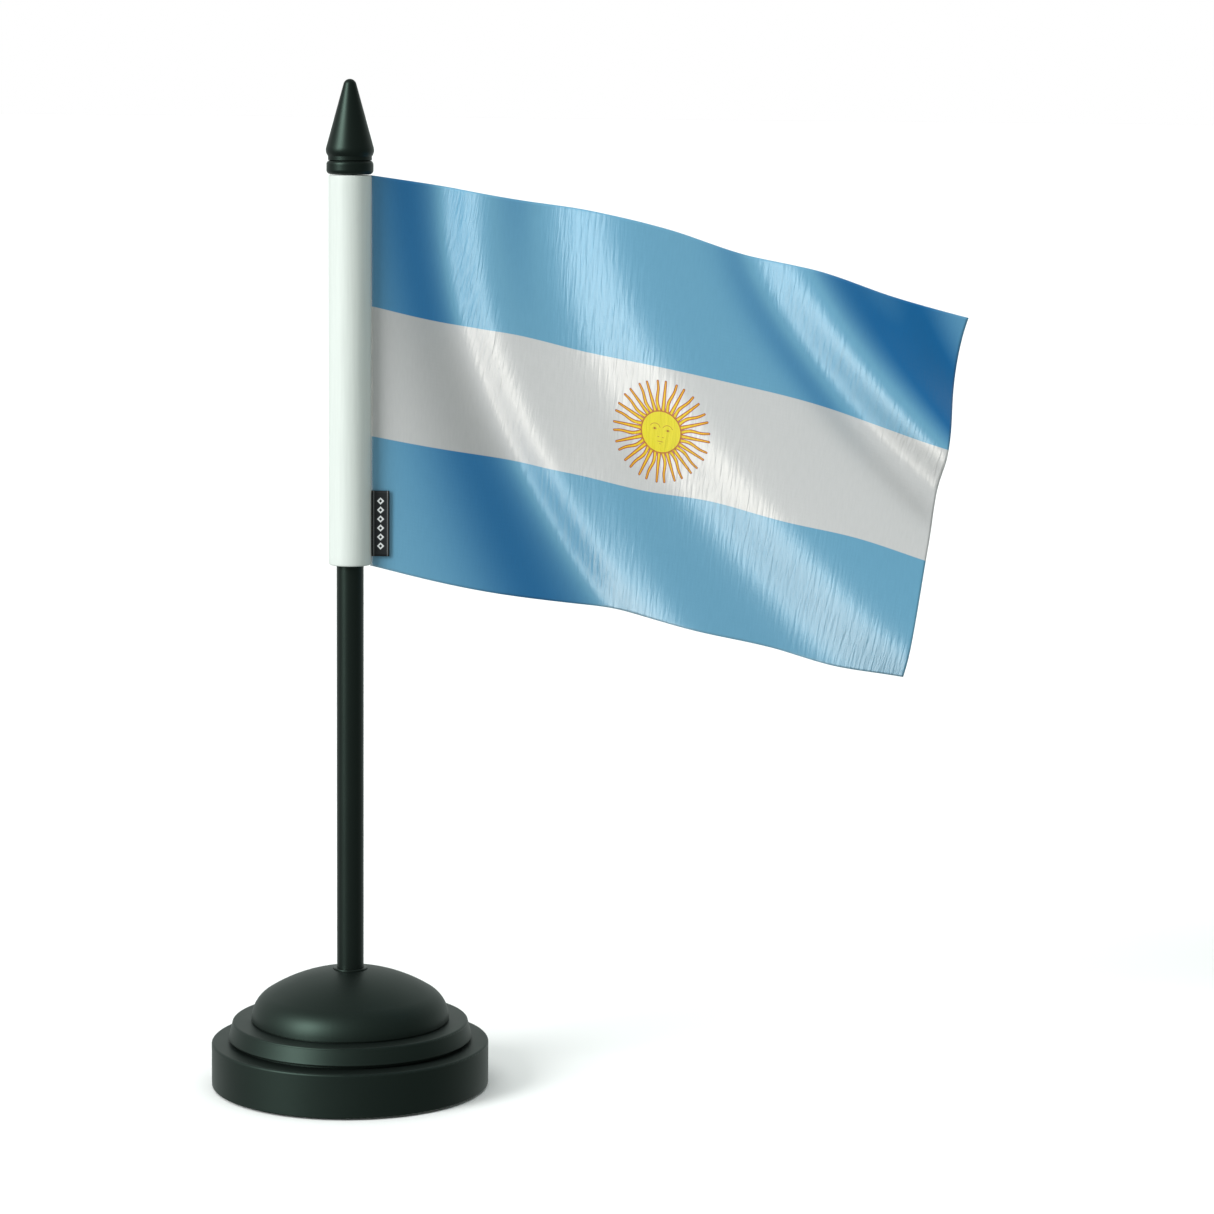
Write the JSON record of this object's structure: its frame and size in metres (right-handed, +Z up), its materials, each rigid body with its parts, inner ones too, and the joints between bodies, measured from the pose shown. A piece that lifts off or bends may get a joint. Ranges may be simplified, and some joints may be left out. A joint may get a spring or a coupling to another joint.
{
  "type": "desk flag stand",
  "caption": "Desk flag on a weighted round stepped base: a black pole with a spear finial and a satin flag that turns on a white sleeve.",
  "frame": {"origin": "centre of the underside of the base pad, on the desk, on the pole's axis", "axes": "+Z up along the pole; the flag flies towards +X; its printed front as seen in use faces -Y"},
  "size_m": [0.1934, 0.0726, 0.262],
  "materials": {
    "black_moulding": "satin black moulding",
    "black_finial": "satin black moulding",
    "black_tube": "satin black paint",
    "brass": "turned",
    "ballast_steel": "raw",
    "plated_steel": "zinc plated",
    "felt": "pressed felt",
    "white_plastic": "natural white",
    "white_satin": "white satin",
    "flag_satin": "printed satin, light blue and white",
    "label_ribbon": "woven black ribbon"
  },
  "bodies": {
    "base": {"plinth": "black_moulding", "step_disc": "black_moulding", "dome_cap": "black_moulding", "pole_socket": "brass", "screw_insert": "brass", "ballast_weight": "ballast_steel", "clamp_washer": "plated_steel", "clamp_screw": "plated_steel", "bottom_cover": "black_moulding", "felt_pad": "felt"},
    "pole": {"pole_tube": "black_tube", "pole_collar": "black_tube", "pole_foot_plug": "black_moulding", "pole_top_plug": "brass"},
    "finial": {"finial_collar": "black_finial", "finial_spear": "black_finial", "finial_stud": "plated_steel"},
    "flag": {"sleeve_liner": "white_plastic", "sleeve_wrap": "white_satin", "sleeve_top_cap": "white_plastic", "sleeve_bottom_bush": "white_plastic", "flag_cloth": "flag_satin", "woven_label": "label_ribbon"}
  },
  "joints": [
    {"name": "pole_lift", "type": "slide", "parent": "base", "child": "pole", "axis": [0, 0, 1], "range_m": [0, 0.025]},
    {"name": "finial_pull", "type": "slide", "parent": "pole", "child": "finial", "axis": [0, 0, 1], "range_m": [0, 0.016]},
    {"name": "flag_swivel", "type": "hinge", "parent": "pole", "child": "flag", "pos_m": [0, 0, 0.1878], "axis": [0, 0, 1], "continuous": true}
  ]
}
